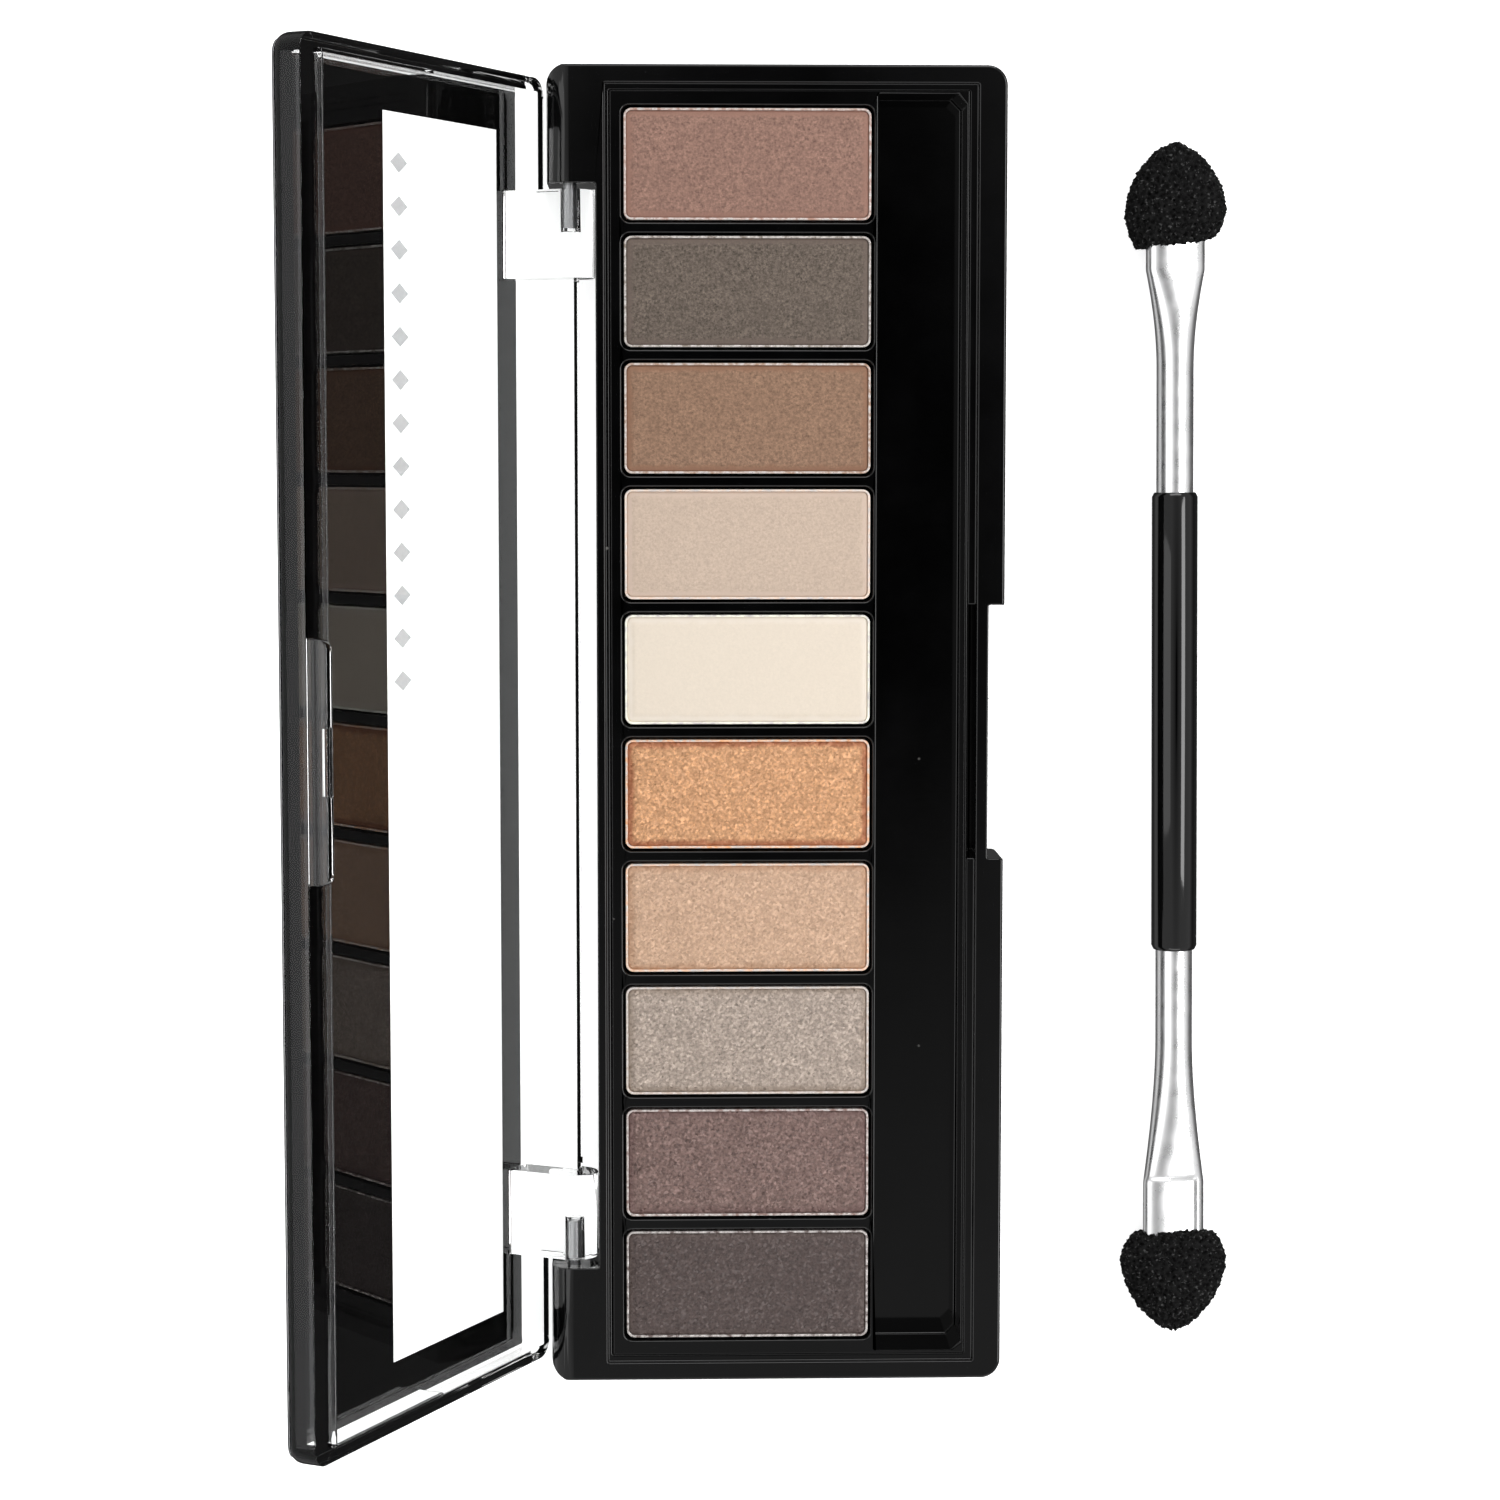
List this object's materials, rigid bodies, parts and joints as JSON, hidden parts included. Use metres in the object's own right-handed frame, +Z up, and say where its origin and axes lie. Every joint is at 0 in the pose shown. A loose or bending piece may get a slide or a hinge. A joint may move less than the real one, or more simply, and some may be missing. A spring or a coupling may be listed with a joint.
{
  "type": "eyeshadow palette",
  "caption": "Slim rectangular eyeshadow palette with a clear hinged lid, a row of pressed powder pans and a double-ended foam applicator.",
  "frame": {"origin": "centre of the case's underside, on the surface that it stands on", "axes": "+Z up, +Y along the row of pans, +X from the hinge side to the front, where the applicator lies"},
  "size_m": [0.1022, 0.148, 0.048],
  "materials": {
    "case_black": "polished moulding",
    "tray_black": "semi-gloss moulding",
    "pan_metal": "thin pressed sheet",
    "glue": "set glue",
    "pin_steel": "drawn wire",
    "label": "blank coated label",
    "clear_plastic": "clear polished plastic moulding",
    "black_print": "opaque print",
    "grey_print": "pale grey print",
    "handle_black": "gloss tube",
    "stem_chrome": "satin bright metal",
    "foam_black": "open-cell foam",
    "powder_01": "matte rose taupe pressed powder",
    "powder_02": "matte olive grey pressed powder",
    "powder_03": "matte brown pressed powder",
    "powder_04": "matte beige pressed powder",
    "powder_05": "matte cream pressed powder",
    "powder_06": "strongly shimmering copper gold pressed powder",
    "powder_07": "shimmering champagne pressed powder",
    "powder_08": "shimmering silver taupe pressed powder",
    "powder_09": "shimmering mauve brown pressed powder",
    "powder_10": "shimmering dark brown pressed powder"
  },
  "bodies": {
    "case": {"case_base": "case_black", "pan_tray": "tray_black", "pan_01": "pan_metal", "pan_02": "pan_metal", "pan_03": "pan_metal", "pan_04": "pan_metal", "pan_05": "pan_metal", "pan_06": "pan_metal", "pan_07": "pan_metal", "pan_08": "pan_metal", "pan_09": "pan_metal", "pan_10": "pan_metal", "powder_01": "powder_01", "powder_02": "powder_02", "powder_03": "powder_03", "powder_04": "powder_04", "powder_05": "powder_05", "powder_06": "powder_06", "powder_07": "powder_07", "powder_08": "powder_08", "powder_09": "powder_09", "powder_10": "powder_10", "pan_glue_dots": "glue", "hinge_pin_upper": "pin_steel", "hinge_pin_lower": "pin_steel", "underside_label": "label"},
    "lid": {"lid_shell": "clear_plastic", "lid_print": "black_print", "lid_motif": "grey_print"},
    "applicator": {"applicator_handle": "handle_black", "applicator_stem_upper": "stem_chrome", "applicator_stem_lower": "stem_chrome", "applicator_sponge_upper": "foam_black", "applicator_sponge_lower": "foam_black"}
  },
  "joints": [
    {"name": "lid_hinge", "type": "hinge", "parent": "case", "child": "lid", "pos_m": [-0.023, 0, 0.0056], "axis": [0, 1, 0], "range_deg": [0, 116.4]},
    {"name": "applicator_stow", "type": "hinge", "parent": "case", "child": "applicator", "pos_m": [0.03065, -0.00237, 0.00382], "axis": [0.0044, -1, 0], "range_deg": [0, 180]}
  ]
}
